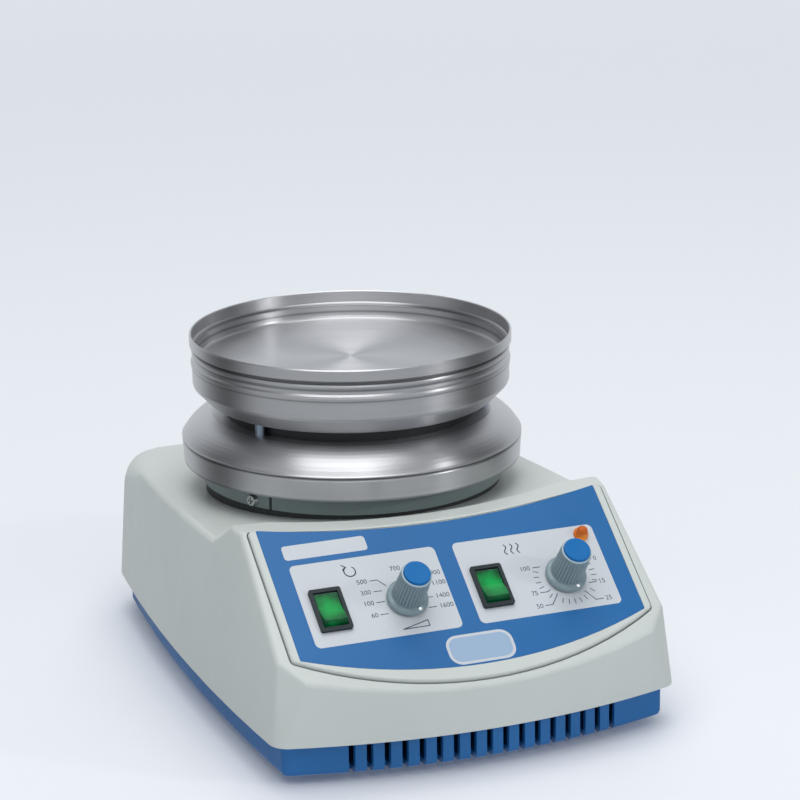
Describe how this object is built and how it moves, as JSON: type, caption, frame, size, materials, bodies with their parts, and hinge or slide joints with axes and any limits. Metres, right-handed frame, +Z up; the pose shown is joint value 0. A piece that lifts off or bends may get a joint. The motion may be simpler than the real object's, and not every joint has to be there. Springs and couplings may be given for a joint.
{
  "type": "heating magnetic stirrer",
  "caption": "Bench magnetic stirrer with a round stainless heating dish on a tapered housing, sloping panel with rockers, fluted dials and lamp, slotted tray below.",
  "frame": {"origin": "on the bench under the middle of the overall box", "axes": "+Z up, front with the control panel towards -Y, +X to the right as seen from the front"},
  "size_m": [0.1934, 0.283, 0.158],
  "materials": {
    "cream_plastic": "satin moulded",
    "blue_plastic": "fine moulded texture",
    "label_print": "printed film, satin",
    "black_plastic": "satin",
    "green_rocker": "translucent, lit",
    "grey_knob": "satin moulded",
    "blue_cap": "satin",
    "lamp_lens": "translucent",
    "black_rubber": "matt",
    "zinc_screw": "zinc plated",
    "nickel_pin": "plated",
    "fuse_glass": "clear",
    "stainless": "spun, fine brushed rings",
    "band_paint": "satin grey-green",
    "black_paint": "matt heat-proof",
    "post_steel": "turned",
    "element_clay": "fired",
    "insulation": "pressed fibre",
    "zinc_sheet": "plated sheet",
    "motor_steel": "satin",
    "magnet": "matt",
    "carrier_alloy": "turned",
    "board": "solder mask",
    "components": "moulded"
  },
  "bodies": {
    "stirrer_body": {"base_tray": "blue_plastic", "housing_shell": "cream_plastic", "front_plate": "cream_plastic", "panel_label": "label_print", "rubber_feet": "black_rubber", "base_screws": "zinc_screw", "mains_inlet": "black_plastic", "inlet_pins": "nickel_pin", "motor_switch_case": "black_plastic", "heater_switch_case": "black_plastic", "neon_lamp": "lamp_lens", "speed_potentiometer": "black_plastic", "heat_regulator": "black_plastic", "panel_nuts": "zinc_screw", "gasket_ring": "black_rubber", "clamp_band": "band_paint", "clamp_screw": "zinc_screw", "cover_flange": "stainless", "spacer_posts": "post_steel", "insulating_ring": "black_paint", "heater_casing": "stainless", "heating_dish": "stainless", "heating_element": "element_clay", "insulation_disc": "insulation", "thermal_cutout": "black_plastic", "motor_bracket": "zinc_sheet", "bracket_screws": "zinc_screw", "motor_dampers": "black_rubber", "motor_can": "motor_steel", "motor_bearings": "nickel_pin", "control_board": "board", "board_parts": "components", "board_posts": "zinc_screw"},
    "motor_rocker": {"motor_rocker": "green_rocker"},
    "heater_rocker": {"heater_rocker": "green_rocker"},
    "speed_dial": {"speed_knob": "grey_knob", "speed_knob_cap": "blue_cap", "speed_spindle": "carrier_alloy"},
    "heat_dial": {"heat_knob": "grey_knob", "heat_knob_cap": "blue_cap", "heat_spindle": "carrier_alloy"},
    "drive_rotor": {"motor_shaft": "zinc_screw", "magnet_carrier": "carrier_alloy", "drive_magnets": "magnet"},
    "fuse_holder": {"fuse_drawer": "black_plastic", "fuse_link": "fuse_glass"}
  },
  "joints": [
    {"name": "motor_switch_tilt", "type": "hinge", "parent": "stirrer_body", "child": "motor_rocker", "pos_m": [-0.0604, -0.10351, 0.06835], "axis": [1, 0, 0], "range_deg": [0, 18]},
    {"name": "heater_switch_tilt", "type": "hinge", "parent": "stirrer_body", "child": "heater_rocker", "pos_m": [0.0151, -0.10351, 0.06835], "axis": [1, 0, 0], "range_deg": [0, 18]},
    {"name": "speed_dial_turn", "type": "hinge", "parent": "stirrer_body", "child": "speed_dial", "pos_m": [-0.025, -0.1045, 0.06961], "axis": [0, -0.6157, 0.788], "range_deg": [-84, 196]},
    {"name": "heat_dial_turn", "type": "hinge", "parent": "stirrer_body", "child": "heat_dial", "pos_m": [0.0505, -0.1045, 0.06961], "axis": [0, -0.6157, 0.788], "range_deg": [-140, 140]},
    {"name": "drive_spin", "type": "hinge", "parent": "stirrer_body", "child": "drive_rotor", "pos_m": [0, 0.023, 0.08], "axis": [0, 0, 1], "continuous": true},
    {"name": "fuse_drawer_slide", "type": "slide", "parent": "stirrer_body", "child": "fuse_holder", "axis": [0, 1, 0], "range_m": [0, 0.018]}
  ]
}
